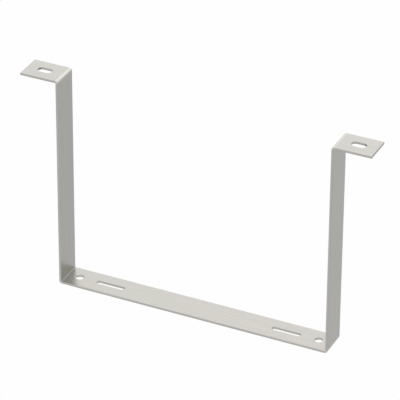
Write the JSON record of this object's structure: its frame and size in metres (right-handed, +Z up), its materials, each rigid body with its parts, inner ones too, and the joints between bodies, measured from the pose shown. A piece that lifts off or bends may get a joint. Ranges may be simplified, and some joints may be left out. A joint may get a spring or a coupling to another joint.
{
  "type": "u bracket",
  "caption": "Wide U-shaped hanging bracket folded from flat steel strip, with slotted flanges turned outwards and round holes and long slots through its web.",
  "frame": {"origin": "centre of the web's underside, which is the surface that the bracket stands on", "axes": "+X along the web from leg to leg, +Y across the strip's width, +Z up along the legs to the flanges"},
  "size_m": [0.48, 0.04, 0.3],
  "materials": {
    "stainless_strip": "satin mill finish with a fine grain along the strip"
  },
  "bodies": {
    "root": {"bracket": "stainless_strip"}
  },
  "joints": []
}
